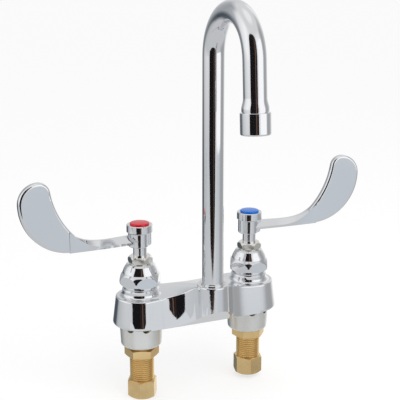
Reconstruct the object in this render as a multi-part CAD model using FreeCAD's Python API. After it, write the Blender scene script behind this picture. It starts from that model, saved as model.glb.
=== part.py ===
import FreeCAD, Part
import math
import os

os.makedirs("parts", exist_ok=True)

V = FreeCAD.Vector

# Frame: origin on the deck plane (the body's underside), midway between the two
# valves. +X runs to the cold valve, -Y to the user, +Z up. Millimetres, degrees.

# Plan of the faucet
VALVE_SPACING = 101.6          # hot valve axis to cold valve axis
SPOUT_OFFSET = 35.0            # spout axis, in front of the valve line
REST_TURN = 5.8                # closed handles stand this far forward of the valve line
SIDES = (("hot", -1), ("cold", 1))

# Clearances
RUN_GAP = 0.05                 # radial gap of a shaft or a screw thread in its hole
FACE_GAP = 0.03                # between faces that slide on each other
LOOSE_GAP = 0.3                # round the handle screw

# Body casting: a low oval base under both valves
BODY_HEIGHT = 25.0
BODY_BASE_R = 24.2
BODY_TOP_R = 21.0
BODY_BASE_ROUND = 2.4
BODY_RIM_ROUND = 1.6
NECK_HEIGHT = 6.5              # neck over each valve boss
NECK_R = 15.6
NECK_SWEEP = 3.6               # hollow sweep from the boss up to the neck
NECK_BEVEL = 1.3               # height of the bevel under the bonnet
NECK_TOP_R = 14.5

# Body casting: the spout boss, which bulges out of the front wall
BOSS_TOP = 38.5
BOSS_R = 13.5
BOSS_DRAFT = 2.5
BOSS_COLLAR_R = 12.9
SWEEP_R = 26.8                 # hollow sweep from the boss into the front wall
RIDGE_ROUND = 1.2
CREST_PLACES = (0.0, 15.0, 19.0, 24.6, 31.0, 38.0)      # beside the spout axis
CREST_SHARES = (1.17, 1.0, 0.77, 0.44, 0.24, 0.10)      # of the web's full rise, at those places
WEB_DIP = 3.2                  # hollow of the web's back edge at the middle
ARCH_ANGLE = 35.5              # slope of the boss's undercut
ARCH_START = 23.6              # where the undercut leaves the deck, in front of the valve line

# Water ways
CHAMBER_R = 11.5
CHAMBER_FLOOR = 8.0
SOCKET_DEPTH = 6.0             # how far the shank screws into the body
PORT_R = 5.5
CHANNEL_R = 4.5
CHANNEL_Z = 16.0
SPOUT_BORE_R = 11.0
SPOUT_FLOOR = 19.0
THRUST_WASHER = 0.5            # between the spout floor and the swivel sleeve

# Shank below the deck, half-inch straight pipe thread
SHANK_R = 10.46
SHANK_BORE_R = 6.45
SHANK_LENGTH = 57.6            # below the deck plane
THREAD_PITCH = 1.814
THREAD_DEPTH = 1.05
THREAD_CREST = 0.35

# Cup washer, its rim scalloped to bite the deck
CUP_RIM_R = 18.2
CUP_LOW_R = 17.3
CUP_HEIGHT = 18.1
CUP_WALL = 2.0
CUP_CORNER = 2.6
CUP_TOP_GAP = 2.05             # room for a thin deck plate
SCALLOPS = 8
SCALLOP_R = 3.4
SCALLOP_DEPTH = 2.3
SCALLOP_TURN = {"hot": 39.9, "cold": 33.6}
CUP_HOLE_GAP = 1.3             # the cup hangs loosely round the shank,
CUP_OFFSET = {"hot": (0.2, 1.0), "cold": (-1.0, 0.0)}    # a little off centre, along X and Y

# Locknut under the cup washer
LOCKNUT_FLATS = 25.6
LOCKNUT_HEIGHT = 7.4
LOCKNUT_GAP = {"hot": 1.9, "cold": 0.2}
LOCKNUT_TURN = {"hot": 40.6, "cold": 48.0}

# Coupling nut for the supply tube, and its washer
COUPLING_FLATS = 22.8
COUPLING_HEIGHT = 15.6
COUPLING_TOP = {"hot": -51.3, "cold": -47.7}
COUPLING_TURN = {"hot": -0.1, "cold": 17.4}
COUPLING_LIP = 2.6
COUPLING_HOLE_R = 7.0
COUPLING_WASHER = 2.5
COUPLING_WASHER_BORE_R = 6.7
NUT_CHAMFER = 1.3

# Bonnet: a hexagon cut into a turned dome
BONNET_HEIGHT = 21.2
BONNET_FLATS = 32.3
BONNET_TURN = {"hot": -1.0, "cold": 3.0}
BONNET_TOP_R = 10.9
BONNET_SPIGOT = 6.5
BONNET_BORE_R = 6.4
GLAND_R = 8.55
GLAND_DEPTH = 9.5
BONNET_SKIRT = (               # radius, height over the neck
    (14.5, 0.5), (15.1, 1.8), (16.9, 3.5), (18.1, 6.0), (18.2, 7.8), (17.5, 9.8),
    (16.3, 11.8), (15.0, 13.5),
)
BONNET_DOME = ((14.6, 15.1), (13.8, 16.9), (12.1, 19.9))     # goes on from the skirt in a crease

# Packing nut and packing ring
PACKING_FLATS = 18.2
PACKING_TURN = {"hot": 32.0, "cold": 27.0}
PACKING_HEIGHT = 6.4
PACKING_CHAMFER = 1.9
PACKING_SPIGOT = 6.0
PACKING_RING = 3.2

# Cartridge: housing, seal and the two ceramic discs
HOUSING_R = 11.0
HOUSING_WALL = 1.6
GUIDE_LENGTH = 3.5
WINDOW_R = 2.5
SEAL_R = 7.5
SEAL_BORE_R = 4.6
SEAL_HEIGHT = 2.0
DISC_HEIGHT = 3.0
DISC_PORT_R = 2.2
DISC_PORT_OFFSET = 4.8
O_RING_WIRE_R = 0.72
STEM_O_RING_WIRE_R = 0.5

# Stem
STEM_R = 4.4
STEM_FOOT_R = 6.6
STEM_FOOT = 3.6
TANG_WIDTH = 3.0
TANG_DEPTH = 1.2
COLLAR_R = 5.75
COLLAR_HEIGHT = 7.9            # seen between the packing nut and the hub
SPLINE_R = 4.6
SPLINE_TOOTH = 0.4
SPLINE_TEETH = 16
SPLINE_LENGTH = 11.0

# Handle hub
HUB_HEIGHT = 19.4
HUB_R = 7.0
HUB_RING_R = 10.95
HUB_RING_HEIGHT = 6.7
HUB_EDGE_ROUND = 0.6
HUB_SWEEP = 1.2                # hollow corner between the barrel and the ring
HUB_RECESS = 4.1
LUG_REACH = 9.9
LUG_WIDTH = 4.8
LUG_CORNER = 2.4

# Handle arm: sections along its length, each as
# (distance, half width of the underside, underside, half width, ridge, half width of the top, top),
# heights over the hub's foot
ARM_SECTIONS = (
    (1.5, 2.8, 2.9, 6.3, 6.2, 1.0, 11.2),
    (20.0, 2.5, 3.1, 5.0, 5.9, 1.0, 10.8),
    (35.0, 2.7, 3.4, 4.4, 6.2, 1.2, 10.8),
    (46.0, 3.1, 3.8, 3.8, 9.2, 1.7, 12.3),
    (56.0, 3.3, 4.15, 3.45, 15.8, 3.0, 16.3),
    (62.7, 3.5, 4.4, 3.55, 21.3, 3.3, 21.8),
)

# Handle blade: arcs in the plane of the handle, heights over the hub's foot
BLADE_THICK = 6.4
BLADE_ROUND = 2.2
BLADE_SWEEP_X = 59.3           # centre of the outer sweep
BLADE_SWEEP_Z = 47.6
BLADE_SWEEP_R = 43.4
BLADE_TIP_R = 16.6
BLADE_PEAK_R = 9.7
BLADE_INNER_R = 70.0
BLADE_INNER_TILT = 8.9         # where the peak rolls over into the inner edge
BLADE_ROOT_X = 53.0

# Handle screw and index cap
SCREW_R = 2.0
SCREW_LENGTH = 12.0
SCREW_HEAD_R = 3.6
SCREW_HEAD = 2.2
CAP_R = 8.2
CAP_EDGE = 0.5
CAP_ROUND = 1.0
CAP_DOME = 0.4
CAP_PLUG = 1.4

# Gooseneck spout
TUBE_R = 8.75
TUBE_WALL = 1.25
BEND_R = 35.1
BEND_ANGLE = 176.0
LEG_TOP = 225.3                # where the bend starts
OUTLET_RUN = 36.1              # straight run after the bend
FLARE_R = 10.2
FLARE_LENGTH = 8.0
FLARE_LIP = 1.6

# Swivel joint in the spout boss
SLEEVE_LENGTH = 13.6
SLEEVE_RING_GROOVES = (3.6, 9.6)
SWIVEL_O_RING_WIRE_R = 1.0
BUSHING_RIM = 1.1
BUSHING_RIM_R = 9.9

# Aerator
AERATOR_R = 11.4
AERATOR_HEIGHT = 16.2
AERATOR_RIM = 0.5              # rounding of the upper rim
AERATOR_FOOT = 1.4             # rounding of the lower rim
AERATOR_TOP_GAP = 0.7          # groove between the flare and the aerator
AERATOR_THREAD_R = 9.6
AERATOR_MOUTH_R = 9.2
AERATOR_LIP = 1.4
AERATOR_GASKET = 1.6
AERATOR_THREAD_LENGTH = 8.0
JET_R = 0.75
JET_RING_STEP = 2.6
JET_RINGS = 3

# Heights that follow from the sizes above
NECK_TOP = BODY_HEIGHT + NECK_HEIGHT
BONNET_TOP = NECK_TOP + BONNET_HEIGHT
PACKING_TOP = BONNET_TOP + PACKING_HEIGHT
HUB_FOOT = PACKING_TOP + COLLAR_HEIGHT
HUB_TOP = HUB_FOOT + HUB_HEIGHT
GLAND_FLOOR = BONNET_TOP - GLAND_DEPTH
DISC_R = HOUSING_R - HOUSING_WALL - RUN_GAP
FIXED_DISC_Z = CHAMBER_FLOOR + SEAL_HEIGHT
MOVING_DISC_Z = FIXED_DISC_Z + DISC_HEIGHT + FACE_GAP
STEM_FOOT_Z = MOVING_DISC_Z + DISC_HEIGHT
HOUSING_TOP = NECK_TOP - BONNET_SPIGOT
HALF_SPACING = VALVE_SPACING / 2.0
MID_GUIDE = HOUSING_TOP - GUIDE_LENGTH / 2.0


def rod(r, z0, z1):
    """Upright cylinder on the Z axis from z0 to z1."""
    return Part.makeCylinder(r, z1 - z0, V(0, 0, z0))


def tube(r_out, r_in, z0, z1):
    """Upright ring on the Z axis."""
    return rod(r_out, z0, z1).cut(rod(r_in, z0, z1))


def turned(points):
    """Solid turned about Z from a closed outline of (radius, height) points."""
    corners = [V(r, 0, z) for r, z in points]
    face = Part.Face(Part.makePolygon(corners + corners[:1]))
    return face.revolve(V(0, 0, 0), V(0, 0, 1), 360)


def hexagon(flats, z0, z1, turn=0.0):
    """Hexagonal prism, one corner at the angle turn from +X."""
    r = flats / math.sqrt(3.0)
    angles = [math.radians(turn + 60.0 * k) for k in range(7)]
    face = Part.Face(Part.makePolygon([V(r * math.cos(a), r * math.sin(a), z0) for a in angles]))
    return face.extrude(V(0, 0, z1 - z0))


def nut_blank(flats, z0, z1, turn, chamfer):
    """Hexagonal nut with its corners turned off at both ends, no bore."""
    r_corner = flats / math.sqrt(3.0)
    r_face = flats / 2.0 - 0.2 * chamfer
    turning = turned([(0, z0), (r_face, z0), (r_corner, z0 + chamfer),
                      (r_corner, z1 - chamfer), (r_face, z1), (0, z1)])
    return hexagon(flats, z0, z1, turn).common(turning)


def torus(r_centre, wire_r, z):
    """O-ring."""
    return Part.makeTorus(r_centre, wire_r, V(0, 0, z))


def at_valve(shape, sign):
    """Copy of a piece made on the Z axis, moved to its valve."""
    placed = shape.copy()
    placed.translate(V(sign * HALF_SPACING, 0, 0))
    return placed


def at_spout(shape):
    """Copy of a piece made on the Z axis, moved to the spout axis."""
    placed = shape.copy()
    placed.translate(V(0, -SPOUT_OFFSET, 0))
    return placed


def save(shape, node):
    """Write one node."""
    shape.exportStep("parts/" + node + ".step")


def arc(centre, r, a0, a1, z):
    """Arc in a level plane, angles in degrees, in the order a0 to a1."""
    points = []
    for a in (a0, (a0 + a1) / 2.0, a1):
        points.append(V(centre[0] + r * math.cos(math.radians(a)),
                        centre[1] + r * math.sin(math.radians(a)), z))
    return Part.Arc(points[0], points[1], points[2]).toShape()


def body_half_width(z):
    """Half width of the oval base at a height, from its draft."""
    return BODY_BASE_R + (BODY_TOP_R - BODY_BASE_R) * z / BODY_HEIGHT


def oval_outline(r, z):
    """Plan of the base at a height: round ends on the valve axes and straight walls."""
    hot_end = arc((-HALF_SPACING, 0.0), r, 90.0, 270.0, z)
    cold_end = arc((HALF_SPACING, 0.0), r, -90.0, 90.0, z)
    front = Part.makeLine(V(-HALF_SPACING, -r, z), V(HALF_SPACING, -r, z))
    back = Part.makeLine(V(HALF_SPACING, r, z), V(-HALF_SPACING, r, z))
    return Part.Wire([hot_end, front, cold_end, back])


def oval_base():
    """Drafted oval under both valves, rims rounded, its top slightly dished between the necks."""
    solid = Part.makeLoft([oval_outline(BODY_BASE_R, 0.0), oval_outline(BODY_TOP_R, BODY_HEIGHT)],
                          True, True)
    solid = solid.makeFillet(BODY_BASE_ROUND, [e for e in solid.Edges if e.BoundBox.ZMax < 0.01])
    high = [e for e in solid.Edges if e.BoundBox.ZMin > BODY_HEIGHT - 0.01]
    solid = solid.makeFillet(BODY_RIM_ROUND, high)
    chord = HALF_SPACING - NECK_R - NECK_SWEEP
    dish_r = (chord ** 2 + WEB_DIP ** 2) / (2.0 * WEB_DIP)
    dish_z = BODY_HEIGHT - WEB_DIP + dish_r
    dish = Part.makeCylinder(dish_r, 4.0 * BODY_BASE_R, V(0, -2.0 * BODY_BASE_R, dish_z), V(0, 1, 0))
    return solid.cut(dish)


def bulge_outline(z):
    """Plan of the middle at a height: straight walls, hollow sweeps and the spout boss."""
    half = body_half_width(z)
    boss_r = BOSS_R + (BOSS_TOP - z) * math.tan(math.radians(BOSS_DRAFT))
    down = half + SWEEP_R - SPOUT_OFFSET
    across = math.sqrt((boss_r + SWEEP_R) ** 2 - down ** 2)
    tangent = math.degrees(math.atan2(-down, across))
    hot_sweep = arc((-across, -half - SWEEP_R), SWEEP_R, 90.0, -tangent, z)
    nose = arc((0.0, -SPOUT_OFFSET), boss_r, 180.0 - tangent, 360.0 + tangent, z)
    cold_sweep = arc((across, -half - SWEEP_R), SWEEP_R, 180.0 + tangent, 90.0, z)
    back = half - RIDGE_ROUND
    rest = Part.makePolygon([V(across, -half, z), V(HALF_SPACING, -half, z), V(HALF_SPACING, back, z),
                             V(-HALF_SPACING, back, z), V(-HALF_SPACING, -half, z), V(-across, -half, z)])
    return Part.Wire([hot_sweep, nose, cold_sweep] + rest.Edges)


def crest_curve(points):
    """Smooth line across the web through its points, level at both ends."""
    curve = Part.BSplineCurve()
    curve.interpolate(points, InitialTangent=V(1, 0, 0), FinalTangent=V(1, 0, 0))
    return curve.toShape()


def web():
    """Middle of the body: a curved crest over the spout axis, running out to a dished back edge."""
    front_y = -SPOUT_OFFSET - BOSS_R - SPOUT_FLOOR
    stretch = (BODY_BASE_R - front_y) / (BODY_BASE_R + SPOUT_OFFSET)
    rise = (BOSS_TOP - BODY_HEIGHT) * stretch
    side = [V(x, front_y, BODY_HEIGHT + share * rise) for x, share in zip(CREST_PLACES, CREST_SHARES)]
    hot = [V(-p.x, p.y, p.z) for p in reversed(side[1:])]
    ends = [V(-HALF_SPACING, front_y, BODY_HEIGHT), V(HALF_SPACING, front_y, BODY_HEIGHT)]
    feet = [V(-HALF_SPACING, front_y, 0), V(HALF_SPACING, front_y, 0)]
    box = Part.makePolygon([ends[1], feet[1], feet[0], ends[0]])
    front = Part.Wire([crest_curve([ends[0]] + hot + side + [ends[1]])] + box.Edges)
    shift = V(0, BODY_BASE_R - front_y, 0)
    dip = V(0, BODY_BASE_R, BODY_HEIGHT - WEB_DIP)
    box.translate(shift)
    back = Part.Wire([crest_curve([ends[0] + shift, dip, ends[1] + shift])] + box.Edges)
    return Part.makeLoft([front, back], True, True)


def spout_bulge():
    """Spout boss and the walls beside it, under the web's crest, front rims rounded."""
    walls = Part.makeLoft([bulge_outline(0.0), bulge_outline(BOSS_TOP + BOSS_R)], True, True)
    reach = VALVE_SPACING + BODY_BASE_R
    lid = Part.makeBox(2.0 * reach, 2.0 * reach, BOSS_TOP, V(-reach, -reach, 0))
    solid = walls.common(web().common(lid))
    side = walls.Shells[0]
    rims = []
    for edge in solid.Edges:
        middle = edge.valueAt((edge.FirstParameter + edge.LastParameter) / 2.0)
        level = edge.BoundBox.ZLength < 0.9 * edge.Length
        front = middle.y < 0 and middle.z > BODY_HEIGHT - 0.01
        if level and front and side.distToShape(Part.Vertex(middle))[0] < 0.001:
            rims.append(edge)
    return solid.makeFillet(RIDGE_ROUND, rims)


def undercut():
    """Wedge under the spout boss, taken away so that the boss hangs over the deck."""
    depth = SPOUT_OFFSET + BOSS_R
    rise = depth * math.tan(math.radians(ARCH_ANGLE))
    face = Part.Face(Part.makePolygon([
        V(-HALF_SPACING, -ARCH_START, 0), V(-HALF_SPACING, -ARCH_START - depth, 0),
        V(-HALF_SPACING, -ARCH_START - depth, rise), V(-HALF_SPACING, -ARCH_START, 0)]))
    return face.extrude(V(VALVE_SPACING, 0, 0))


def neck():
    """Neck on a valve boss: hollow sweep, short upright band, and a bevel under the bonnet."""
    foot_r = NECK_R + NECK_SWEEP
    band = BODY_HEIGHT + NECK_SWEEP
    bend = NECK_SWEEP * math.sqrt(0.5)
    sweep = Part.Arc(V(foot_r, 0, BODY_HEIGHT), V(foot_r - bend, 0, band - bend),
                     V(NECK_R, 0, band)).toShape()
    rest = Part.makePolygon([V(NECK_R, 0, band), V(NECK_R, 0, NECK_TOP - NECK_BEVEL),
                             V(NECK_TOP_R, 0, NECK_TOP), V(0, 0, NECK_TOP),
                             V(0, 0, BODY_HEIGHT - WEB_DIP), V(foot_r, 0, BODY_HEIGHT - WEB_DIP),
                             V(foot_r, 0, BODY_HEIGHT)])
    face = Part.Face(Part.Wire([sweep] + rest.Edges))
    return face.revolve(V(0, 0, 0), V(0, 0, 1), 360)


def body_casting():
    """One casting: base, spout boss and necks, bored for the valves, spout and water ways."""
    solid = oval_base().fuse(spout_bulge()).cut(undercut())
    solid = solid.fuse(at_spout(rod(BOSS_COLLAR_R, BODY_HEIGHT, BOSS_TOP)))
    for _, sign in SIDES:
        solid = solid.fuse(at_valve(neck(), sign))
    solid = solid.removeSplitter()
    for _, sign in SIDES:
        bores = rod(CHAMBER_R, CHAMBER_FLOOR, NECK_TOP)
        bores = bores.fuse(rod(PORT_R, 0, CHAMBER_FLOOR))
        bores = bores.fuse(rod(SHANK_R + RUN_GAP, 0, SOCKET_DEPTH))
        solid = solid.cut(at_valve(bores, sign))
    reach = HALF_SPACING - CHAMBER_R / 2.0
    cross = Part.makeCylinder(CHANNEL_R, 2.0 * reach, V(-reach, 0, CHANNEL_Z), V(1, 0, 0))
    start = V(0, 0, CHANNEL_Z)
    end = V(0, -SPOUT_OFFSET + SPOUT_BORE_R / 2.0, SPOUT_FLOOR + CHANNEL_R)
    riser = Part.makeCylinder(CHANNEL_R, (end - start).Length, start, end - start)
    spout_bore = at_spout(rod(SPOUT_BORE_R, SPOUT_FLOOR, BOSS_TOP))
    return solid.cut(cross).cut(riser).cut(spout_bore)


def shank():
    """Threaded supply shank: ring grooves at the thread's pitch on a bored rod."""
    top = SOCKET_DEPTH
    outline = [(SHANK_BORE_R, -SHANK_LENGTH), (SHANK_R - THREAD_DEPTH, -SHANK_LENGTH)]
    turns = int((SHANK_LENGTH - THREAD_PITCH) / THREAD_PITCH)
    flank = (THREAD_PITCH - 2.0 * THREAD_CREST) / 2.0
    z = -SHANK_LENGTH + flank
    for _ in range(turns):
        outline.append((SHANK_R, z))
        outline.append((SHANK_R, z + THREAD_CREST))
        outline.append((SHANK_R - THREAD_DEPTH, z + THREAD_CREST + flank))
        outline.append((SHANK_R - THREAD_DEPTH, z + 2.0 * THREAD_CREST + flank))
        z = z + THREAD_PITCH
    outline.append((SHANK_R, z))
    outline.append((SHANK_R, top))
    outline.append((SHANK_BORE_R, top))
    return turned(outline)


def cup_washer(side):
    """Cup round the shank, open end up, with a scalloped rim."""
    top = -CUP_TOP_GAP
    floor = top - CUP_HEIGHT
    cup = turned([(0, floor), (CUP_LOW_R, floor), (CUP_RIM_R, top), (0, top)])
    corner = [e for e in cup.Edges if e.BoundBox.ZMax < floor + 0.01 and e.BoundBox.XLength > CUP_LOW_R]
    cup = cup.makeFillet(CUP_CORNER, corner)
    hollow = turned([(0, floor + CUP_WALL), (CUP_LOW_R - CUP_WALL, floor + CUP_WALL),
                     (CUP_RIM_R - CUP_WALL, top), (0, top)])
    cup = cup.cut(hollow)
    cup = cup.cut(rod(SHANK_R + CUP_HOLE_GAP, floor, top))
    for k in range(SCALLOPS):
        angle = SCALLOP_TURN[side] + 360.0 * k / SCALLOPS
        centre_z = top - SCALLOP_DEPTH + SCALLOP_R
        cutter = Part.makeCylinder(SCALLOP_R, 2.0 * CUP_RIM_R, V(0, 0, centre_z), V(1, 0, 0))
        cutter.rotate(V(0, 0, 0), V(0, 0, 1), angle)
        cup = cup.cut(cutter)
    along, across = CUP_OFFSET[side]
    cup.translate(V(along, across, 0))
    return cup


def locknut(side):
    """Thin hexagon nut under the cup washer."""
    top = -CUP_TOP_GAP - CUP_HEIGHT - LOCKNUT_GAP[side]
    blank = nut_blank(LOCKNUT_FLATS, top - LOCKNUT_HEIGHT, top, LOCKNUT_TURN[side], NUT_CHAMFER / 2.0)
    return blank.cut(rod(SHANK_R + RUN_GAP, top - LOCKNUT_HEIGHT, top))


def coupling_nut(side):
    """Long hexagon nut with a lip that holds the supply tube's washer."""
    top = COUPLING_TOP[side]
    foot = top - COUPLING_HEIGHT
    blank = nut_blank(COUPLING_FLATS, foot, top, COUPLING_TURN[side], NUT_CHAMFER)
    blank = blank.cut(rod(SHANK_R + RUN_GAP, foot + COUPLING_LIP, top))
    return blank.cut(rod(COUPLING_HOLE_R, foot, foot + COUPLING_LIP))


def coupling_washer(side):
    """Soft washer on the coupling nut's lip."""
    foot = COUPLING_TOP[side] - COUPLING_HEIGHT + COUPLING_LIP
    return tube(SHANK_R - RUN_GAP, COUPLING_WASHER_BORE_R, foot, foot + COUPLING_WASHER)


def bonnet(side):
    """Domed hexagon over a valve: turned outline cut by six flats, with a screwed spigot."""
    skirt = Part.BSplineCurve()
    skirt.interpolate([V(r, 0, NECK_TOP + z) for r, z in BONNET_SKIRT])
    crown = Part.BSplineCurve()
    crown.interpolate([V(r, 0, NECK_TOP + z) for r, z in BONNET_SKIRT[-1:] + BONNET_DOME])
    r0, z0 = BONNET_SKIRT[0]
    r1, z1 = BONNET_DOME[-1]
    rest = Part.makePolygon([V(r1, 0, NECK_TOP + z1), V(BONNET_TOP_R, 0, BONNET_TOP),
                             V(0, 0, BONNET_TOP), V(0, 0, NECK_TOP), V(r0 - z0, 0, NECK_TOP),
                             V(r0, 0, NECK_TOP + z0)])
    outline = Part.Wire([skirt.toShape(), crown.toShape()] + rest.Edges)
    dome = Part.Face(outline).revolve(V(0, 0, 0), V(0, 0, 1), 360)
    dome = dome.common(hexagon(BONNET_FLATS, NECK_TOP, BONNET_TOP, BONNET_TURN[side]))
    dome = dome.fuse(rod(CHAMBER_R - RUN_GAP, NECK_TOP - BONNET_SPIGOT, NECK_TOP))
    dome = dome.cut(rod(BONNET_BORE_R, NECK_TOP - BONNET_SPIGOT, BONNET_TOP))
    return dome.cut(rod(GLAND_R, GLAND_FLOOR, BONNET_TOP))


def packing_nut(side):
    """Small hexagon nut that squeezes the packing ring round the stem."""
    blank = nut_blank(PACKING_FLATS, BONNET_TOP, PACKING_TOP, PACKING_TURN[side], PACKING_CHAMFER)
    blank = blank.fuse(rod(GLAND_R - RUN_GAP, BONNET_TOP - PACKING_SPIGOT, BONNET_TOP))
    return blank.cut(rod(COLLAR_R + RUN_GAP, BONNET_TOP - PACKING_SPIGOT, PACKING_TOP))


def packing_ring():
    """Soft ring on the gland floor."""
    return tube(GLAND_R - RUN_GAP, COLLAR_R + RUN_GAP, GLAND_FLOOR, GLAND_FLOOR + PACKING_RING)


def cartridge_housing():
    """Sleeve that holds the discs, with side windows, a stem guide and an O-ring groove."""
    housing = tube(HOUSING_R, HOUSING_R - HOUSING_WALL, CHAMBER_FLOOR, HOUSING_TOP - GUIDE_LENGTH)
    housing = housing.fuse(tube(HOUSING_R, STEM_R + RUN_GAP, HOUSING_TOP - GUIDE_LENGTH, HOUSING_TOP))
    window_z = STEM_FOOT_Z + WINDOW_R / 2.0
    for k in range(4):
        hole = Part.makeCylinder(WINDOW_R, 2.0 * HOUSING_R, V(0, 0, window_z), V(1, 0, 0))
        hole.rotate(V(0, 0, 0), V(0, 0, 1), 90.0 * k)
        housing = housing.cut(hole.common(rod(HOUSING_R, CHAMBER_FLOOR, HOUSING_TOP - GUIDE_LENGTH)))
    root = CHAMBER_R - RUN_GAP - 2.0 * O_RING_WIRE_R
    groove = tube(HOUSING_R, root, MID_GUIDE - O_RING_WIRE_R - RUN_GAP, MID_GUIDE + O_RING_WIRE_R + RUN_GAP)
    return housing.cut(groove)


def housing_o_ring():
    """Seals the housing to the chamber wall."""
    return torus(CHAMBER_R - RUN_GAP - O_RING_WIRE_R, O_RING_WIRE_R, MID_GUIDE)


def seat_seal():
    """Soft seal between the body's port and the fixed disc."""
    return tube(SEAL_R, SEAL_BORE_R, CHAMBER_FLOOR, CHAMBER_FLOOR + SEAL_HEIGHT)


def disc_blank(z, port_angle):
    """Ceramic disc with two ports."""
    disc = rod(DISC_R, z, z + DISC_HEIGHT)
    for k in range(2):
        angle = math.radians(port_angle + 180.0 * k)
        port = rod(DISC_PORT_R, z, z + DISC_HEIGHT)
        port.translate(V(DISC_PORT_OFFSET * math.cos(angle), DISC_PORT_OFFSET * math.sin(angle), 0))
        disc = disc.cut(port)
    return disc


def fixed_disc():
    """Lower disc, ports front and back."""
    return disc_blank(FIXED_DISC_Z, 90.0)


def tang(gap):
    """Blade that turns the moving disc, widened by a gap for its slot."""
    width = TANG_WIDTH + 2.0 * gap
    length = 2.0 * STEM_FOOT_R + 2.0 * gap
    return Part.makeBox(width, length, TANG_DEPTH + gap,
                        V(-width / 2.0, -length / 2.0, STEM_FOOT_Z - TANG_DEPTH - gap))


def moving_disc():
    """Upper disc, ports across the closed handle, slotted for the stem."""
    return disc_blank(MOVING_DISC_Z, 0.0).cut(tang(RUN_GAP))


def spline_prism(gap, z0, z1):
    """Toothed shaft end, grown by a gap for its socket."""
    points = []
    for k in range(2 * SPLINE_TEETH + 1):
        r = SPLINE_R + gap - (SPLINE_TOOTH if k % 2 else 0.0)
        a = math.pi * k / SPLINE_TEETH
        points.append(V(r * math.cos(a), r * math.sin(a), z0))
    return Part.Face(Part.makePolygon(points)).extrude(V(0, 0, z1 - z0))


def stem():
    """Spindle: foot and tang on the disc, shaft, collar through the gland, splined end."""
    foot_top = STEM_FOOT_Z + STEM_FOOT
    collar_foot = GLAND_FLOOR + FACE_GAP
    piece = turned([(0, STEM_FOOT_Z), (STEM_FOOT_R, STEM_FOOT_Z), (STEM_FOOT_R, foot_top),
                    (STEM_R, foot_top), (STEM_R, collar_foot), (COLLAR_R, collar_foot),
                    (COLLAR_R, HUB_FOOT), (0, HUB_FOOT)])
    piece = piece.fuse(tang(0.0)).fuse(spline_prism(0.0, HUB_FOOT, HUB_FOOT + SPLINE_LENGTH))
    root = STEM_R + RUN_GAP / 2.0 - 2.0 * STEM_O_RING_WIRE_R
    half = STEM_O_RING_WIRE_R + RUN_GAP
    piece = piece.cut(tube(STEM_R, root, MID_GUIDE - half, MID_GUIDE + half))
    top = HUB_FOOT + SPLINE_LENGTH
    return piece.cut(rod(SCREW_R + RUN_GAP, top - SCREW_LENGTH, top))


def stem_o_ring():
    """Seals the stem in the housing's guide."""
    return torus(STEM_R + RUN_GAP / 2.0 - STEM_O_RING_WIRE_R, STEM_O_RING_WIRE_R, MID_GUIDE)


def hub_barrel():
    """Barrel with a wide ring on top, turned."""
    ring_foot = HUB_TOP - HUB_RING_HEIGHT
    out = HUB_RING_R - HUB_EDGE_ROUND
    bend = HUB_SWEEP * (1.0 - math.sqrt(0.5))
    sweep = Part.Arc(V(HUB_R, 0, ring_foot - HUB_SWEEP), V(HUB_R + bend, 0, ring_foot - bend),
                     V(HUB_R + HUB_SWEEP, 0, ring_foot)).toShape()
    low = Part.makePolygon([V(0, 0, HUB_FOOT), V(HUB_R - HUB_EDGE_ROUND, 0, HUB_FOOT),
                            V(HUB_R, 0, HUB_FOOT + HUB_EDGE_ROUND), V(HUB_R, 0, ring_foot - HUB_SWEEP)])
    high = Part.makePolygon([V(HUB_R + HUB_SWEEP, 0, ring_foot), V(out, 0, ring_foot),
                             V(HUB_RING_R, 0, ring_foot + HUB_EDGE_ROUND),
                             V(HUB_RING_R, 0, HUB_TOP - HUB_EDGE_ROUND), V(out, 0, HUB_TOP),
                             V(0, 0, HUB_TOP), V(0, 0, HUB_FOOT)])
    face = Part.Face(Part.Wire(low.Edges + [sweep] + high.Edges))
    return face.revolve(V(0, 0, 0), V(0, 0, 1), 360)


def hub():
    """Hub barrel with a lug each side, before it is bored."""
    height = HUB_HEIGHT - HUB_RING_HEIGHT
    lug = Part.makeBox(2.0 * LUG_REACH, LUG_WIDTH, height, V(-LUG_REACH, -LUG_WIDTH / 2.0, HUB_FOOT))
    low = [e for e in lug.Edges
           if e.BoundBox.ZMax < HUB_FOOT + 0.01 and e.BoundBox.YLength > LUG_WIDTH - 0.01]
    lug = lug.makeFillet(LUG_CORNER, low)
    sides = [e for e in lug.Edges if abs(e.CenterOfMass.x) > LUG_REACH - LUG_CORNER
             and e.BoundBox.YLength < 0.01]
    lug = lug.makeFillet(LUG_WIDTH / 4.0, sides)
    return hub_barrel().fuse(lug)


def arm():
    """Roof-backed arm, lofted from the hub out to the blade."""
    wires = []
    for x, low, foot, half, ridge, flat, top in ARM_SECTIONS:
        ring = [(-low, foot), (low, foot), (half, ridge), (flat, top), (-flat, top), (-half, ridge)]
        corners = [V(x, y, HUB_FOOT + z) for y, z in ring]
        wires.append(Part.makePolygon(corners + corners[:1]))
    return Part.makeLoft(wires, True, False)


def upright_arc(x, z, r, a0, a1):
    """Arc in the plane of the handle, angles in degrees, in the order a0 to a1."""
    points = []
    for a in (a0, (a0 + a1) / 2.0, a1):
        points.append(V(x + r * math.cos(math.radians(a)), 0, z + r * math.sin(math.radians(a))))
    return Part.Arc(points[0], points[1], points[2]).toShape()


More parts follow.
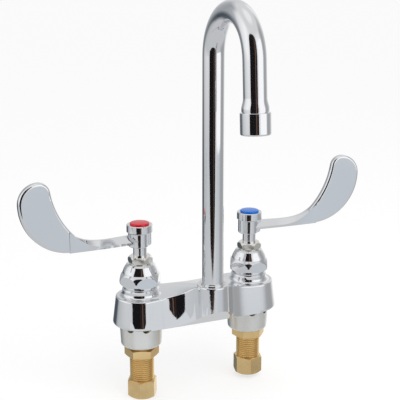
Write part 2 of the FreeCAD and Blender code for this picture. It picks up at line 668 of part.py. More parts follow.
def blade():
    """Upright paddle: outer sweep, round tip, peak and hollow inner edge, with soft rims."""
    sweep_z = HUB_FOOT + BLADE_SWEEP_Z
    sweep = upright_arc(BLADE_SWEEP_X, sweep_z, BLADE_SWEEP_R, -90.0, 0.0)
    tip_x = BLADE_SWEEP_X + BLADE_SWEEP_R - BLADE_TIP_R
    tip = upright_arc(tip_x, sweep_z, BLADE_TIP_R, 0.0, 90.0)
    peak_z = sweep_z + BLADE_TIP_R - BLADE_PEAK_R
    peak = upright_arc(tip_x, peak_z, BLADE_PEAK_R, 90.0, 180.0 - BLADE_INNER_TILT)
    tilt = math.radians(BLADE_INNER_TILT)
    inner_x = tip_x - (BLADE_PEAK_R + BLADE_INNER_R) * math.cos(tilt)
    inner_z = peak_z + (BLADE_PEAK_R + BLADE_INNER_R) * math.sin(tilt)
    root_angle = math.acos((BLADE_ROOT_X - inner_x) / BLADE_INNER_R)
    inner = upright_arc(inner_x, inner_z, BLADE_INNER_R, -BLADE_INNER_TILT, -math.degrees(root_angle))
    root_z = inner_z - BLADE_INNER_R * math.sin(root_angle)
    foot_z = sweep_z - BLADE_SWEEP_R
    close = Part.makePolygon([V(BLADE_ROOT_X, 0, root_z), V(BLADE_ROOT_X, 0, foot_z),
                              V(BLADE_SWEEP_X, 0, foot_z)])
    face = Part.Face(Part.Wire([sweep, tip, peak, inner] + close.Edges))
    solid = face.extrude(V(0, BLADE_THICK, 0))
    solid.translate(V(0, -BLADE_THICK / 2.0, 0))
    rims = [e for e in solid.Edges if isinstance(e.Curve, Part.Circle)]
    return solid.makeFillet(BLADE_ROUND, rims)


def handle():
    """Lever handle along +X: hub, arm and blade in one piece, bored for the stem and the cap."""
    piece = hub().fuse(arm()).fuse(blade()).removeSplitter()
    socket_top = HUB_FOOT + SPLINE_LENGTH + FACE_GAP
    piece = piece.cut(spline_prism(RUN_GAP, HUB_FOOT, socket_top))
    piece = piece.cut(rod(SCREW_R + LOOSE_GAP, socket_top, HUB_TOP))
    return piece.cut(rod(CAP_R - 2.0 * RUN_GAP, HUB_TOP - HUB_RECESS, HUB_TOP))


def handle_screw():
    """Pan-head screw down through the hub into the stem."""
    seat = HUB_TOP - HUB_RECESS
    piece = rod(SCREW_HEAD_R, seat, seat + SCREW_HEAD)
    rim = [e for e in piece.Edges if e.BoundBox.ZMin > seat + SCREW_HEAD - 0.01]
    piece = piece.makeFillet(SCREW_HEAD / 3.0, rim)
    piece = piece.fuse(rod(SCREW_R, HUB_FOOT + SPLINE_LENGTH - SCREW_LENGTH + LOOSE_GAP, seat))
    slot = Part.makeBox(2.0 * SCREW_HEAD_R, 1.0, SCREW_HEAD / 2.0,
                        V(-SCREW_HEAD_R, -0.5, seat + SCREW_HEAD / 2.0))
    return piece.cut(slot)


def index_cap():
    """Coloured cap: a plug in the hub's recess under a slightly domed button."""
    edge = HUB_TOP + CAP_EDGE
    flat_r = CAP_R - CAP_ROUND
    bend = CAP_ROUND * (1.0 - math.sqrt(0.5))
    rim = Part.Arc(V(CAP_R, 0, edge), V(CAP_R - bend, 0, edge + CAP_ROUND - bend),
                   V(flat_r, 0, edge + CAP_ROUND)).toShape()
    crown_z = edge + CAP_ROUND + CAP_DOME
    dome = Part.BSplineCurve()
    dome.interpolate([V(flat_r, 0, edge + CAP_ROUND), V(0.5 * flat_r, 0, crown_z - 0.25 * CAP_DOME),
                      V(0, 0, crown_z)])
    plug_r = CAP_R - 3.0 * RUN_GAP
    rest = Part.makePolygon([V(0, 0, crown_z), V(0, 0, HUB_TOP - CAP_PLUG), V(plug_r, 0, HUB_TOP - CAP_PLUG),
                             V(plug_r, 0, HUB_TOP), V(CAP_R, 0, HUB_TOP), V(CAP_R, 0, edge)])
    face = Part.Face(Part.Wire([rim, dome.toShape()] + rest.Edges))
    return face.revolve(V(0, 0, 0), V(0, 0, 1), 360)


def spout_rod(r):
    """Solid along the gooseneck's centre line, from the swivel sleeve to the end of the bend."""
    leg = at_spout(rod(r, SPOUT_FLOOR + THRUST_WASHER, LEG_TOP))
    disc = Part.Face(Part.Wire(Part.makeCircle(r, V(0, -SPOUT_OFFSET, LEG_TOP), V(0, 0, 1))))
    centre = V(0, -SPOUT_OFFSET - BEND_R, LEG_TOP)
    bend = disc.revolve(centre, V(1, 0, 0), BEND_ANGLE)
    return leg.fuse(bend)


def at_outlet(shape):
    """Move a piece made on the Z axis, with z = 0 at the end of the bend, onto the outlet."""
    placed = shape.copy()
    placed.translate(V(0, -SPOUT_OFFSET, LEG_TOP))
    placed.rotate(V(0, -SPOUT_OFFSET - BEND_R, LEG_TOP), V(1, 0, 0), BEND_ANGLE - 180.0)
    placed.translate(end_of_bend() - start_of_outlet())
    return placed


def start_of_outlet():
    """Where the leg's top lands after the outlet's tilt alone."""
    tilt = math.radians(BEND_ANGLE - 180.0)
    return V(0, -SPOUT_OFFSET - BEND_R + BEND_R * math.cos(tilt), LEG_TOP + BEND_R * math.sin(tilt))


def end_of_bend():
    """Centre of the tube at the end of the bend."""
    turn = math.radians(BEND_ANGLE)
    return V(0, -SPOUT_OFFSET - BEND_R * (1.0 - math.cos(turn)), LEG_TOP + BEND_R * math.sin(turn))


def flared_outlet():
    """Outlet run of the tube as a solid: straight, swept out to the flare, then the threaded nose."""
    nose_end = aerator_z() - AERATOR_THREAD_LENGTH
    flare_z = -OUTLET_RUN + FLARE_LIP
    sweep = Part.BSplineCurve()
    sweep.interpolate([V(TUBE_R, 0, flare_z + FLARE_LENGTH), V(FLARE_R, 0, flare_z)],
                      InitialTangent=V(0, 0, -FLARE_LENGTH), FinalTangent=V(0, 0, -FLARE_LENGTH))
    run = Part.makePolygon([V(0, 0, 0), V(TUBE_R, 0, 0), V(TUBE_R, 0, flare_z + FLARE_LENGTH)])
    nose = Part.makePolygon([V(FLARE_R, 0, flare_z), V(FLARE_R, 0, -OUTLET_RUN),
                             V(AERATOR_THREAD_R, 0, -OUTLET_RUN), V(AERATOR_THREAD_R, 0, nose_end),
                             V(0, 0, nose_end), V(0, 0, 0)])
    face = Part.Face(Part.Wire(run.Edges + [sweep.toShape()] + nose.Edges))
    return face.revolve(V(0, 0, 0), V(0, 0, 1), 360)


def spout_tube():
    """Gooseneck: leg, bend and outlet run, flared at the end, with a threaded nose."""
    bore = rod(TUBE_R - TUBE_WALL, aerator_z() - AERATOR_THREAD_LENGTH, 0)
    solid = spout_rod(TUBE_R).fuse(at_outlet(flared_outlet()))
    return solid.cut(spout_rod(TUBE_R - TUBE_WALL).fuse(at_outlet(bore)))


def spout_sleeve():
    """Brass sleeve fixed on the leg's foot, grooved for two O-rings."""
    foot = SPOUT_FLOOR + THRUST_WASHER
    sleeve = tube(SPOUT_BORE_R - RUN_GAP, TUBE_R, foot, foot + SLEEVE_LENGTH)
    root = SPOUT_BORE_R - RUN_GAP / 2.0 - 2.0 * SWIVEL_O_RING_WIRE_R
    half = SWIVEL_O_RING_WIRE_R + RUN_GAP
    for z in SLEEVE_RING_GROOVES:
        sleeve = sleeve.cut(tube(SPOUT_BORE_R, root, foot + z - half, foot + z + half))
    return at_spout(sleeve)


def swivel_o_ring(index):
    """One of the two O-rings on the swivel sleeve."""
    z = SPOUT_FLOOR + THRUST_WASHER + SLEEVE_RING_GROOVES[index]
    return at_spout(torus(SPOUT_BORE_R - RUN_GAP / 2.0 - SWIVEL_O_RING_WIRE_R, SWIVEL_O_RING_WIRE_R, z))


def spout_bushing():
    """Ring screwed into the boss over the sleeve, with the rim seen round the leg."""
    foot = SPOUT_FLOOR + THRUST_WASHER + SLEEVE_LENGTH + FACE_GAP
    bore_r = TUBE_R + RUN_GAP
    ring = turned([(bore_r, foot), (SPOUT_BORE_R - RUN_GAP, foot), (SPOUT_BORE_R - RUN_GAP, BOSS_TOP),
                   (BUSHING_RIM_R, BOSS_TOP), (BUSHING_RIM_R, BOSS_TOP + BUSHING_RIM / 2.0),
                   (BUSHING_RIM_R - BUSHING_RIM / 2.0, BOSS_TOP + BUSHING_RIM),
                   (bore_r, BOSS_TOP + BUSHING_RIM)])
    return at_spout(ring)


def thrust_washer():
    """Thin washer under the swivel sleeve."""
    return at_spout(tube(SPOUT_BORE_R - RUN_GAP, TUBE_R - TUBE_WALL,
                         SPOUT_FLOOR, SPOUT_FLOOR + THRUST_WASHER - FACE_GAP))


def aerator_z():
    """Top of the aerator housing, measured from the end of the bend."""
    return -OUTLET_RUN - AERATOR_TOP_GAP


def aerator_housing():
    """Turned shell with rounded rims and a lip that holds the insert."""
    top = aerator_z()
    foot = top - AERATOR_HEIGHT
    shell = rod(AERATOR_R, foot, top)
    shell = shell.makeFillet(AERATOR_RIM, [e for e in shell.Edges if e.BoundBox.ZMin > top - 0.01])
    shell = shell.makeFillet(AERATOR_FOOT, [e for e in shell.Edges if e.BoundBox.ZMax < foot + 0.01])
    shell = shell.cut(rod(AERATOR_THREAD_R + RUN_GAP, foot + AERATOR_LIP, top))
    return at_outlet(shell.cut(rod(AERATOR_MOUTH_R, foot, foot + AERATOR_LIP)))


def aerator_gasket():
    """Ring between the spout's nose and the insert."""
    top = aerator_z() - AERATOR_THREAD_LENGTH
    return at_outlet(tube(AERATOR_THREAD_R - RUN_GAP, TUBE_R - TUBE_WALL, top - AERATOR_GASKET, top))


def aerator_insert():
    """Flow straightener: a disc with rings of jets, standing on the lip."""
    foot = aerator_z() - AERATOR_HEIGHT + AERATOR_LIP
    top = aerator_z() - AERATOR_THREAD_LENGTH - AERATOR_GASKET
    insert = tube(AERATOR_THREAD_R - RUN_GAP, JET_R, foot, top)
    for ring in range(1, JET_RINGS + 1):
        for k in range(6 * ring):
            angle = 2.0 * math.pi * k / (6 * ring)
            jet = rod(JET_R, foot, top)
            jet.translate(V(ring * JET_RING_STEP * math.cos(angle),
                            ring * JET_RING_STEP * math.sin(angle), 0))
            insert = insert.cut(jet)
    return at_outlet(insert)


def turned_handle(shape, side, sign):
    """Place a piece of the handle, made along +X, at its valve in the closed position."""
    placed = shape.copy()
    angle = -REST_TURN if side == "cold" else 180.0 + REST_TURN
    placed.rotate(V(0, 0, 0), V(0, 0, 1), angle)
    placed.translate(V(sign * HALF_SPACING, 0, 0))
    return placed


def make_all():
    """Write every node."""
    save(body_casting(), "body_casting")
    fixed_pieces = (("shank", shank()), ("packing_ring", packing_ring()),
                    ("cartridge_housing", cartridge_housing()), ("housing_o_ring", housing_o_ring()),
                    ("seat_seal", seat_seal()), ("fixed_disc", fixed_disc()))
    turning_pieces = (("moving_disc", moving_disc()), ("stem", stem()), ("stem_o_ring", stem_o_ring()),
                      ("handle", handle()), ("handle_screw", handle_screw()),
                      ("index_cap", index_cap()))
    for side, sign in SIDES:
        for name, shape in fixed_pieces:
            save(at_valve(shape, sign), side + "_" + name)
        for name, shape in turning_pieces:
            save(turned_handle(shape, side, sign), side + "_" + name)
        save(at_valve(bonnet(side), sign), side + "_bonnet")
        save(at_valve(packing_nut(side), sign), side + "_packing_nut")
        save(at_valve(cup_washer(side), sign), side + "_cup_washer")
        save(at_valve(locknut(side), sign), side + "_locknut")
        save(at_valve(coupling_nut(side), sign), side + "_coupling_nut")
        save(at_valve(coupling_washer(side), sign), side + "_coupling_washer")
    save(spout_tube(), "spout_tube")
    save(spout_sleeve(), "spout_sleeve")
    save(swivel_o_ring(0), "swivel_o_ring_lower")
    save(swivel_o_ring(1), "swivel_o_ring_upper")
    save(spout_bushing(), "spout_bushing")
    save(thrust_washer(), "thrust_washer")
    save(aerator_housing(), "aerator_housing")
    save(aerator_gasket(), "aerator_gasket")
    save(aerator_insert(), "aerator_insert")


make_all()
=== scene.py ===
import bpy
import math
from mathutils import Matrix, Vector


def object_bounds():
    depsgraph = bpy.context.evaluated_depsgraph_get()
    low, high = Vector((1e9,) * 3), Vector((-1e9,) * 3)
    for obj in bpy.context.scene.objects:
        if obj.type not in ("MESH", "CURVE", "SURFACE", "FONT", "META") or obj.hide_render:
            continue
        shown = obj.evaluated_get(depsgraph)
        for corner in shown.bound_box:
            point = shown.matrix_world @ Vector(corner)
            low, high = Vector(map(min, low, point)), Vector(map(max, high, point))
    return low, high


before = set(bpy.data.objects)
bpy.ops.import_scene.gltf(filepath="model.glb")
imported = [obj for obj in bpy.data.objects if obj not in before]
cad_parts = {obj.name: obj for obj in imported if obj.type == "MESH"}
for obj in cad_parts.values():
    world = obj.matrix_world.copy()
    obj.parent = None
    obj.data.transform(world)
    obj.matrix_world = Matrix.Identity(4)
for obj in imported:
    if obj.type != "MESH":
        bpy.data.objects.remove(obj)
cad_box = [list(corner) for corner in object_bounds()]


def grey(level, warm=0.0):
    """Grey of this level. Above zero, warm tips it towards red, and below zero towards blue."""
    return (level * (1.0 + warm), level, level * (1.0 - warm))


# The camera, found from the photograph with the valve spacing as scale. Metres and degrees.
CAMERA_PLACE = (-0.28376, -0.66099, 0.28465)
CAMERA_YAW = 23.506            # from +Y towards +X
CAMERA_PITCH = 14.274          # below level
CAMERA_LENS = 79.0             # mm
CAMERA_SENSOR = 36.0           # mm

# The floor
FLOOR_SIZE = 40.0
FLOOR_GAP = 0.0004             # below the object's lowest point
FLOOR_SHARE = 0.4              # of the floor's own shading that the camera sees
FLOOR_GLOW = 1.1
FLOOR_ROUGH = 0.9
FLOOR_GLOSS = 0.1
FLOOR_LIGHT = grey(0.95)
FLOOR_DARK = grey(0.92)

# The lamp, above and in front
LAMP_WIDTH = 0.9
LAMP_DEPTH = 0.6
LAMP_POWER = 4.0
LAMP_PLACE = (0.25, -0.7, 0.9)
LAMP_AIM = (0.0, 0.0, 0.1)

# Colours of the object
CHROME = (0.80, 0.81, 0.83)
NICKEL = (0.88, 0.86, 0.81)
BRASS = (0.93, 0.68, 0.33)
TARNISH = (0.62, 0.40, 0.20)
ZINC = (0.80, 0.80, 0.77)
STEEL_LIGHT = grey(0.66)
STEEL_DARK = grey(0.48)
RED = (0.70, 0.008, 0.026)
BLUE = (0.002, 0.17, 0.70)
CAPS = {"hot": RED, "cold": BLUE}

# The most that marks add to a surface's roughness
HAIRLINE_DULL = 0.05
TOOL_MARK_DULL = 0.14
GRAIN_DULL = 0.12

# How noise is squeezed along x, y and z
EVEN = (1.0, 1.0, 1.0)
HAIRLINES = (1.0, 1.0, 6.0)
HANGING_FOLDS = (1.0, 1.0, 0.06)

# The room as the bright metal mirrors it: a colour for each bearing, in degrees to the right of the
# camera. The low ring lies just under the horizon, and the high one goes from there up.
ROOM_LOW = (
    # behind the object, a dark corner on the left
    (-180.0, grey(0.80)), (-170.0, grey(0.36, -0.05)), (-160.0, grey(0.15, -0.12)),
    (-148.0, grey(0.12, -0.20)), (-138.0, grey(0.10, -0.20)), (-127.0, grey(0.09, -0.20)),
    (-119.0, grey(0.16, -0.10)),
    # a plain wall on the left and behind the camera
    (-112.0, grey(0.46, -0.02)), (-100.0, grey(0.60, -0.02)), (-80.0, grey(0.64, -0.02)),
    (-52.0, grey(0.66, -0.02)), (-30.0, grey(0.66, -0.02)), (26.0, grey(0.74)),
    # the right, which grows darker away from the camera
    (38.0, grey(0.69, -0.06)), (60.0, grey(0.66, -0.05)), (72.0, grey(0.56, -0.02)),
    (84.0, grey(0.43, -0.02)), (100.0, grey(0.42)), (120.0, grey(0.43)),
    # behind the object, a bright wall on the right
    (132.0, grey(0.70)), (144.0, grey(0.98)), (160.0, grey(1.10)), (172.0, grey(1.05)),
    (180.0, grey(0.80)),
)
ROOM_HIGH = (
    # behind the object, dim on the left
    (-180.0, grey(0.74)), (-166.0, grey(0.70, -0.02)), (-150.0, grey(0.50, -0.03)),
    (-132.0, grey(0.40, -0.04)), (-120.0, grey(0.48, -0.03)),
    # bright on the left, dimmer behind the camera
    (-108.0, grey(0.88)), (-92.0, grey(1.00)), (-70.0, grey(1.12)), (-45.0, grey(0.95)),
    (-20.0, grey(0.74)), (22.0, grey(0.86)),
    # bright to the right of the camera, then dim
    (34.0, grey(1.05)), (62.0, grey(1.05)), (74.0, grey(0.90)), (84.0, grey(0.62, -0.02)),
    (98.0, grey(0.40, -0.02)), (110.0, grey(0.42)), (122.0, grey(0.56)), (134.0, grey(0.62)),
    # behind the object, bright on the right
    (146.0, grey(0.92)), (158.0, grey(1.00)), (168.0, grey(0.76)), (180.0, grey(0.74)),
)
ROOM_TOP = grey(0.80)
ROOM_ZENITH = grey(1.0)
ROOM_FLOOR = grey(0.65, -0.01)
ROOM_LIGHT = 0.8               # strength of the even light that falls on the object from all round

# Elevations, in degrees, between which each part of the room takes over from its neighbour
HIGH_FROM = (-12.0, 3.0)
TOP_FROM = (36.0, 52.0)
ZENITH_FROM = (66.0, 78.0)
FLOOR_FROM = (-22.0, -38.0)

# Cards that stand upright round the object and show only in its bright metal. Distances are from the
# object's middle, and bearings are degrees to the right of the camera. Each outline is in metres: to
# the right for one who looks over the card at the object, and up.
CLOTH_DISTANCE = 0.76
CLOTH_BEARING = 0.0
CLOTH_OUTLINE = (
    (-0.66, -0.05), (-0.52, -0.10), (-0.41, -0.15), (-0.30, -0.18), (-0.07, -0.20), (0.12, -0.19),
    (0.20, -0.15), (0.27, -0.10), (0.30, -0.05), (0.30, 0.78), (0.22, 0.90), (0.05, 0.97),
    (-0.39, 0.97), (-0.57, 0.90), (-0.66, 0.78),
)
CLOTH_DARK = (0.010, 0.009, 0.010)
# Colour of the painted light on the cloth's folds, which the cloth gives off itself
CLOTH_FOLD_LIGHT = (0.19, 0.115, 0.085)
FOLDS_MIDDLE = 0.10            # to the right, as in the outline
FOLDS_HALF = 0.14              # half the width over which they fade
PANEL_DISTANCE = 0.90
PANEL_BEARING = 55.0
PANEL_OUTLINE = ((-0.38, -0.02), (0.34, -0.02), (0.34, 0.80), (-0.38, 0.80))
PANEL_COLOUR = grey(1.17)
SLIP_DISTANCE = 0.065
SLIP_BEARING = 0.0
SLIP_OUTLINE = (
    (-0.075, -0.045), (-0.002, -0.045), (-0.002, 0.016), (-0.007, 0.014), (-0.0165, 0.003),
    (-0.027, 0.0085), (-0.036, -0.0005), (-0.059, -0.0005), (-0.066, 0.004), (-0.075, 0.004),
)
SLIP_COLOUR = grey(0.80, -0.03)


class Graph:
    """A material's or the world's nodes, made and linked in few words."""

    # Places of a Mix node's sockets for colours, whose names its other sockets share
    MIX_FIRST = 6
    MIX_SECOND = 7
    MIX_RESULT = 2

    def __init__(self, tree):
        self.tree = tree

    def add(self, kind, **settings):
        """New node; returns it."""
        node = self.tree.nodes.new("ShaderNode" + kind)
        for key, value in settings.items():
            setattr(node, key, value)
        return node

    def put(self, socket, value):
        """Link an output to a socket, or set the socket to a number or to a colour."""
        if isinstance(value, bpy.types.NodeSocket):
            self.tree.links.new(value, socket)
        elif isinstance(value, tuple):
            socket.default_value = value + (1.0,)
        else:
            socket.default_value = value

    def math(self, operation, *values):
        """One sum or function of one or two values."""
        node = self.add("Math", operation=operation)
        for socket, value in zip(node.inputs, values):
            self.put(socket, value)
        return node.outputs[0]

    def noise(self, scale, detail, roughness, squeeze=EVEN):
        """Noise in the object's own coordinates, squeezed along some of them."""
        coord = self.add("TexCoord")
        mapping = self.add("Mapping")
        self.put(mapping.inputs["Vector"], coord.outputs["Object"])
        mapping.inputs["Scale"].default_value = squeeze
        node = self.add("TexNoise")
        self.put(node.inputs["Vector"], mapping.outputs[0])
        self.put(node.inputs["Scale"], scale)
        self.put(node.inputs["Detail"], detail)
        self.put(node.inputs["Roughness"], roughness)
        return node.outputs["Fac"]

    def spread(self, value, within, onto):
        """Map a value within one range onto another, clamped."""
        node = self.add("MapRange")
        self.put(node.inputs["Value"], value)
        self.put(node.inputs["From Min"], within[0])
        self.put(node.inputs["From Max"], within[1])
        self.put(node.inputs["To Min"], onto[0])
        self.put(node.inputs["To Max"], onto[1])
        return node.outputs["Result"]

    def ramp(self, value, stops):
        """Colour ramp through stops, each a place from 0 to 1 and a colour."""
        node = self.add("ValToRGB")
        elements = node.color_ramp.elements
        while len(elements) < len(stops):
            elements.new(0.5)
        for element, (at, colour) in zip(elements, sorted(stops)):
            element.position = at
            element.color = colour + (1.0,)
        self.put(node.inputs[0], value)
        return node.outputs["Color"]

    def mix(self, factor, first, second):
        """Mix of two colours."""
        node = self.add("Mix", data_type="RGBA")
        self.put(node.inputs[0], factor)
        self.put(node.inputs[self.MIX_FIRST], first)
        self.put(node.inputs[self.MIX_SECOND], second)
        return node.outputs[self.MIX_RESULT]

    def bump(self, height, strength, distance, normal=None):
        """Relief of a height, over another relief if one is given."""
        node = self.add("Bump")
        self.put(node.inputs["Height"], height)
        self.put(node.inputs["Strength"], strength)
        self.put(node.inputs["Distance"], distance)
        if normal is not None:
            self.put(node.inputs["Normal"], normal)
        return node.outputs["Normal"]

    def emission(self, colour, strength=1.0):
        """Shader that gives light of its own."""
        node = self.add("Emission")
        self.put(node.inputs["Color"], colour)
        self.put(node.inputs["Strength"], strength)
        return node.outputs[0]

    def background(self, colour, strength=1.0):
        """Shader of the world's light."""
        node = self.add("Background")
        self.put(node.inputs["Color"], colour)
        self.put(node.inputs["Strength"], strength)
        return node.outputs[0]

    def either(self, factor, first, second):
        """The first shader where the factor is 0, and the second where it is 1."""
        node = self.add("MixShader")
        for socket, value in zip(node.inputs, (factor, first, second)):
            self.put(socket, value)
        return node.outputs[0]


def empty_material(name):
    """Material with nothing but its output; returns it, its graph and the socket of its surface."""
    material = bpy.data.materials.new(name)
    material.use_nodes = True
    material.node_tree.nodes.clear()
    graph = Graph(material.node_tree)
    return material, graph, graph.add("OutputMaterial").inputs["Surface"]


def new_material(name, numbers):
    """Material with a Principled surface, some of whose sockets take these numbers."""
    material, graph, target = empty_material(name)
    surface = graph.add("BsdfPrincipled")
    graph.put(target, surface.outputs[0])
    for socket, number in numbers.items():
        surface.inputs[socket].default_value = number
    return material, graph, surface


def cover(graph, surface, tint, gloss, relief):
    """Give a surface its colour, its roughness and its relief."""
    graph.put(surface.inputs["Base Color"], tint)
    graph.put(surface.inputs["Roughness"], gloss)
    graph.put(surface.inputs["Normal"], relief)


def darker(colour, share):
    return tuple(share * channel for channel in colour)


def chrome(name, colour=CHROME, rough=0.05, wave=0.15, wave_scale=45.0):
    """Polished plate: faint cloudiness, hairlines in the gloss and a slightly wavy surface."""
    material, graph, surface = new_material(name, {"Metallic": 1.0})
    cloud = graph.noise(scale=30.0, detail=4.0, roughness=0.6)
    hair = graph.noise(scale=180.0, detail=5.0, roughness=0.7, squeeze=HAIRLINES)
    waves = graph.noise(scale=wave_scale, detail=1.0, roughness=0.4)
    fine = graph.noise(scale=900.0, detail=2.0, roughness=0.5)
    tint = graph.mix(cloud, darker(colour, share=0.95), colour)
    gloss = graph.spread(hair, within=(0.35, 0.75), onto=(rough, rough + HAIRLINE_DULL))
    wavy = graph.bump(waves, strength=wave, distance=0.0006)
    relief = graph.bump(fine, strength=0.05, distance=0.00002, normal=wavy)
    cover(graph, surface, tint, gloss, relief)
    return material


def brass(name, rings=1.0, streaks=1.0, rough=0.20):
    """Machined brass, tarnished in patches, with tool marks in rings or in upright streaks."""
    material, graph, surface = new_material(name, {"Metallic": 1.0})
    marks = graph.noise(scale=160.0, detail=4.0, roughness=0.7, squeeze=(streaks, streaks, rings))
    patches = graph.noise(scale=55.0, detail=3.0, roughness=0.6)
    clean = graph.mix(marks, darker(BRASS, share=0.82), BRASS)
    tint = graph.mix(graph.spread(patches, within=(0.45, 0.75), onto=(0.0, 0.45)), clean, TARNISH)
    gloss = graph.spread(marks, within=(0.3, 0.8), onto=(rough, rough + TOOL_MARK_DULL))
    relief = graph.bump(marks, strength=0.25, distance=0.00008)
    cover(graph, surface, tint, gloss, relief)
    return material


def zinc(name):
    """Satin zinc plate: pale, cloudy, with fine pits."""
    material, graph, surface = new_material(name, {"Metallic": 0.85})
    cloud = graph.noise(scale=70.0, detail=4.0, roughness=0.65)
    pits = graph.noise(scale=700.0, detail=2.0, roughness=0.6)
    plate = graph.mix(cloud, darker(ZINC, share=0.90), ZINC)
    pitted = graph.spread(pits, within=(0.62, 0.78), onto=(0.0, 0.5))
    tint = graph.mix(pitted, plate, darker(ZINC, share=0.72))
    gloss = graph.spread(cloud, within=(0.3, 0.7), onto=(0.26, 0.38))
    relief = graph.bump(pits, strength=0.2, distance=0.00006)
    cover(graph, surface, tint, gloss, relief)
    return material


def steel(name):
    """Machined steel."""
    material, graph, surface = new_material(name, {"Metallic": 1.0})
    marks = graph.noise(scale=300.0, detail=4.0, roughness=0.7)
    tint = graph.mix(marks, STEEL_DARK, STEEL_LIGHT)
    gloss = graph.spread(marks, within=(0.3, 0.7), onto=(0.28, 0.42))
    relief = graph.bump(marks, strength=0.2, distance=0.00005)
    cover(graph, surface, tint, gloss, relief)
    return material


def cap_plastic(name, colour):
    """Glossy coloured plastic with faint flow marks under a clear skin."""
    skin = {"Coat Weight": 0.25, "Coat Roughness": 0.04, "Specular IOR Level": 0.3}
    material, graph, surface = new_material(name, skin)
    flow = graph.noise(scale=120.0, detail=3.0, roughness=0.5)
    grain = graph.noise(scale=250.0, detail=2.0, roughness=0.5)
    tint = graph.mix(flow, darker(colour, share=0.86), colour)
    gloss = graph.spread(flow, within=(0.3, 0.7), onto=(0.12, 0.2))
    relief = graph.bump(grain, strength=0.08, distance=0.0001)
    cover(graph, surface, tint, gloss, relief)
    return material


def moulded(name, light, dark, rough, grain, depth):
    """Moulded plastic, ceramic or rubber: two tones in a grain, with a faint texture."""
    material, graph, surface = new_material(name, {})
    grains = graph.noise(scale=grain, detail=4.0, roughness=0.6)
    tint = graph.mix(grains, dark, light)
    gloss = graph.spread(grains, within=(0.3, 0.7), onto=(rough, rough + GRAIN_DULL))
    relief = graph.bump(grains, strength=0.3, distance=depth)
    cover(graph, surface, tint, gloss, relief)
    return material


def middle_looks(rubber):
    """Materials of the nodes that stand once."""
    return {
        "body_casting": chrome("body_chrome", rough=0.04, wave=0.06, wave_scale=30.0),
        "spout_tube": chrome("spout_chrome"),
        "spout_bushing": chrome("bushing_chrome", rough=0.08),
        "spout_sleeve": brass("sleeve_brass", rings=12.0),
        "thrust_washer": moulded(
            "washer_plastic", light=(0.84, 0.84, 0.80), dark=(0.74, 0.74, 0.70),
            rough=0.4, grain=300.0, depth=0.00004),
        "swivel_o_ring_lower": rubber,
        "swivel_o_ring_upper": rubber,
        "aerator_housing": chrome("aerator_chrome"),
        "aerator_gasket": rubber,
        "aerator_insert": moulded(
            "insert_plastic", light=(0.56, 0.57, 0.59), dark=(0.44, 0.45, 0.47),
            rough=0.45, grain=400.0, depth=0.00004),
    }


def side_looks(rubber):
    """Materials of the nodes that stand on both sides, by their names without the side."""
    ceramic = moulded(
        "disc_ceramic", light=(0.93, 0.92, 0.89), dark=(0.84, 0.82, 0.78),
        rough=0.15, grain=600.0, depth=0.00002)
    return {
        "shank": brass("shank_brass", rings=9.0),
        "coupling_nut": brass("coupling_brass", streaks=9.0),
        "coupling_washer": moulded(
            "coupling_washer_plastic", light=(0.86, 0.86, 0.83), dark=(0.76, 0.76, 0.73),
            rough=0.5, grain=260.0, depth=0.00004),
        "locknut": brass("locknut_brass", streaks=9.0, rough=0.26),
        "cup_washer": zinc("cup_zinc"),
        "bonnet": chrome("bonnet_chrome", wave=0.18),
        "packing_nut": chrome("packing_nut_nickel", colour=NICKEL, rough=0.12, wave=0.3, wave_scale=120.0),
        "packing_ring": moulded(
            "packing_plastic", light=(0.90, 0.89, 0.85), dark=(0.80, 0.78, 0.74),
            rough=0.45, grain=260.0, depth=0.00004),
        "stem": chrome("stem_chrome"),
        "stem_o_ring": rubber,
        "cartridge_housing": brass("cartridge_brass", rings=10.0),
        "housing_o_ring": rubber,
        "seat_seal": rubber,
        "fixed_disc": ceramic,
        "moving_disc": ceramic,
        "handle": chrome("handle_chrome", wave=0.12),
        "handle_screw": steel("screw_steel"),
    }


def dress():
    """Give every solid its material."""
    rubber = moulded(
        "seal_rubber", light=grey(0.05), dark=grey(0.025),
        rough=0.6, grain=500.0, depth=0.00005)
    looks = middle_looks(rubber)
    on_each_side = side_looks(rubber)
    for side, cap_colour in CAPS.items():
        looks[side + "_index_cap"] = cap_plastic(side + "_cap_plastic", cap_colour)
        for node, material in on_each_side.items():
            looks[side + "_" + node] = material
    for node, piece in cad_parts.items():
        for material_slot in piece.material_slots:
            material_slot.material = looks[node]


def bearing_and_height(graph):
    """A direction's bearing, from 0 to 1 with the camera's at a half, and its elevation in radians."""
    coord = graph.add("TexCoord")
    turn = graph.add("VectorRotate", rotation_type="Z_AXIS")
    graph.put(turn.inputs["Vector"], coord.outputs["Generated"])
    graph.put(turn.inputs["Angle"], math.radians(90.0 + CAMERA_YAW))
    parts = graph.add("SeparateXYZ")
    graph.put(parts.inputs[0], turn.outputs[0])
    angle = graph.math("ARCTAN2", parts.outputs[1], parts.outputs[0])
    bearing = graph.spread(angle, within=(-math.pi, math.pi), onto=(0.0, 1.0))
    return bearing, graph.math("ARCSINE", parts.outputs[2])


def room_colours(graph):
    """The room that the bright metal mirrors, from its two rings to its ceiling and floor."""
    bearing, height = bearing_and_height(graph)

    def ring(stops):
        return graph.ramp(bearing, [(0.5 + degrees / 360.0, colour) for degrees, colour in stops])

    room = ring(ROOM_LOW)
    further_parts = (
        (HIGH_FROM, ring(ROOM_HIGH)),
        (TOP_FROM, ROOM_TOP),
        (ZENITH_FROM, ROOM_ZENITH),
        (FLOOR_FROM, ROOM_FLOOR),
    )
    for elevations, colour in further_parts:
        limits = [math.radians(elevation) for elevation in elevations]
        share = graph.spread(height, within=limits, onto=(0.0, 1.0))
        room = graph.mix(share, room, colour)
    return room


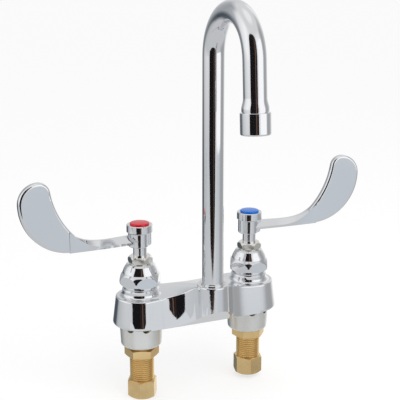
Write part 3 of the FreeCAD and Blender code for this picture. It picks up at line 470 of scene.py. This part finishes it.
def studio_world():
    """White all round for the camera, even light for the object, and a room for its bright metal."""
    world = bpy.data.worlds.new("studio")
    bpy.context.scene.world = world
    world.use_nodes = True
    world.node_tree.nodes.clear()
    graph = Graph(world.node_tree)
    path = graph.add("LightPath")
    seen = graph.background(grey(1.0))
    falling = graph.background(grey(1.0), ROOM_LIGHT)
    mirrored = graph.background(room_colours(graph))
    unseen = graph.either(path.outputs["Is Glossy Ray"], falling, mirrored)
    output = graph.add("OutputWorld")
    graph.put(output.inputs["Surface"], graph.either(path.outputs["Is Camera Ray"], unseen, seen))


def add_object(name, data):
    """New object in the scene; returns it."""
    piece = bpy.data.objects.new(name, data)
    bpy.context.collection.objects.link(piece)
    return piece


def add_face(name, corners, material):
    """Object of one flat face; returns it."""
    mesh = bpy.data.meshes.new(name)
    mesh.from_pydata(corners, [], [tuple(range(len(corners)))])
    mesh.materials.append(material)
    return add_object(name, mesh)


def add_card(name, distance, bearing, outline, material):
    """Upright card that only mirror rays see."""
    piece = add_face(name, [(x, 0.0, z) for x, z in outline], material)
    turn = math.radians(CAMERA_YAW - bearing)
    piece.location = (-distance * math.sin(turn), -distance * math.cos(turn), 0.0)
    piece.rotation_euler = (0.0, 0.0, -turn)
    piece.visible_camera = False
    piece.visible_diffuse = False
    piece.visible_shadow = False
    piece.visible_transmission = False


def glowing(name, colour):
    """Material of one colour that gives light of its own."""
    material, graph, target = empty_material(name)
    graph.put(target, graph.emission(colour))
    return material


def folded_cloth(name):
    """Dark cloth with a few lit folds, which fade away from their middle."""
    material, graph, target = empty_material(name)
    coord = graph.add("TexCoord")
    parts = graph.add("SeparateXYZ")
    graph.put(parts.inputs[0], coord.outputs["Object"])
    away = graph.math("ABSOLUTE", graph.math("SUBTRACT", parts.outputs[0], FOLDS_MIDDLE))
    near = graph.spread(away, within=(0.0, FOLDS_HALF), onto=(1.0, 0.0))
    waves = graph.noise(scale=16.0, detail=2.0, roughness=0.5, squeeze=HANGING_FOLDS)
    crests = graph.spread(waves, within=(0.46, 0.62), onto=(0.0, 1.0))
    lit = graph.math("MULTIPLY", near, crests)
    graph.put(target, graph.emission(graph.mix(lit, CLOTH_DARK, CLOTH_FOLD_LIGHT)))
    return material


def cards():
    """Dark cloth behind the camera, white panel to its right and low pale slip before the body.

    The cloth is the dark strip in all that is upright, and the slip lifts that strip's foot.
    """
    cloth = folded_cloth("dark_cloth")
    add_card("dark_card", CLOTH_DISTANCE, CLOTH_BEARING, CLOTH_OUTLINE, cloth)
    white = glowing("panel_cloth", PANEL_COLOUR)
    add_card("light_panel", PANEL_DISTANCE, PANEL_BEARING, PANEL_OUTLINE, white)
    paper = glowing("slip_paper", SLIP_COLOUR)
    add_card("pale_slip", SLIP_DISTANCE, SLIP_BEARING, SLIP_OUTLINE, paper)


def floor_paper():
    """Pale paper that keeps the object's shadow and is otherwise seen as white."""
    material, graph, target = empty_material("floor_paper")
    surface = graph.add("BsdfPrincipled")
    grain = graph.noise(scale=60.0, detail=3.0, roughness=0.5)
    graph.put(surface.inputs["Base Color"], graph.mix(grain, FLOOR_DARK, FLOOR_LIGHT))
    surface.inputs["Roughness"].default_value = FLOOR_ROUGH
    surface.inputs["Specular IOR Level"].default_value = FLOOR_GLOSS
    path = graph.add("LightPath")
    white_share = graph.math("MULTIPLY", path.outputs["Is Camera Ray"], 1.0 - FLOOR_SHARE)
    white = graph.emission(grey(1.0), FLOOR_GLOW)
    graph.put(target, graph.either(white_share, surface.outputs[0], white))
    return material


def floor():
    """Plain pale floor under the object."""
    low = cad_box[0][2] - FLOOR_GAP
    half = FLOOR_SIZE / 2.0
    corners = [(-half, -half, low), (half, -half, low), (half, half, low), (-half, half, low)]
    plane = add_face("floor", corners, floor_paper())
    plane.visible_glossy = False


def key_light():
    """Large soft lamp above and in front."""
    lamp = bpy.data.lights.new("key", "AREA")
    lamp.shape = "RECTANGLE"
    lamp.size = LAMP_WIDTH
    lamp.size_y = LAMP_DEPTH
    lamp.energy = LAMP_POWER
    holder = add_object("key", lamp)
    holder.location = LAMP_PLACE
    sight = Vector(LAMP_AIM) - Vector(LAMP_PLACE)
    holder.rotation_euler = sight.to_track_quat("-Z", "Y").to_euler()
    holder.visible_glossy = False


def camera():
    """The photograph's view."""
    data = bpy.data.cameras.new("camera")
    data.lens = CAMERA_LENS
    data.sensor_width = CAMERA_SENSOR
    holder = add_object("camera", data)
    holder.location = CAMERA_PLACE
    holder.rotation_euler = (math.radians(90.0 - CAMERA_PITCH), 0.0, math.radians(-CAMERA_YAW))
    bpy.context.scene.camera = holder


camera()
dress()
studio_world()
cards()
floor()
key_light()
bpy.context.scene.view_settings.view_transform = "Standard"
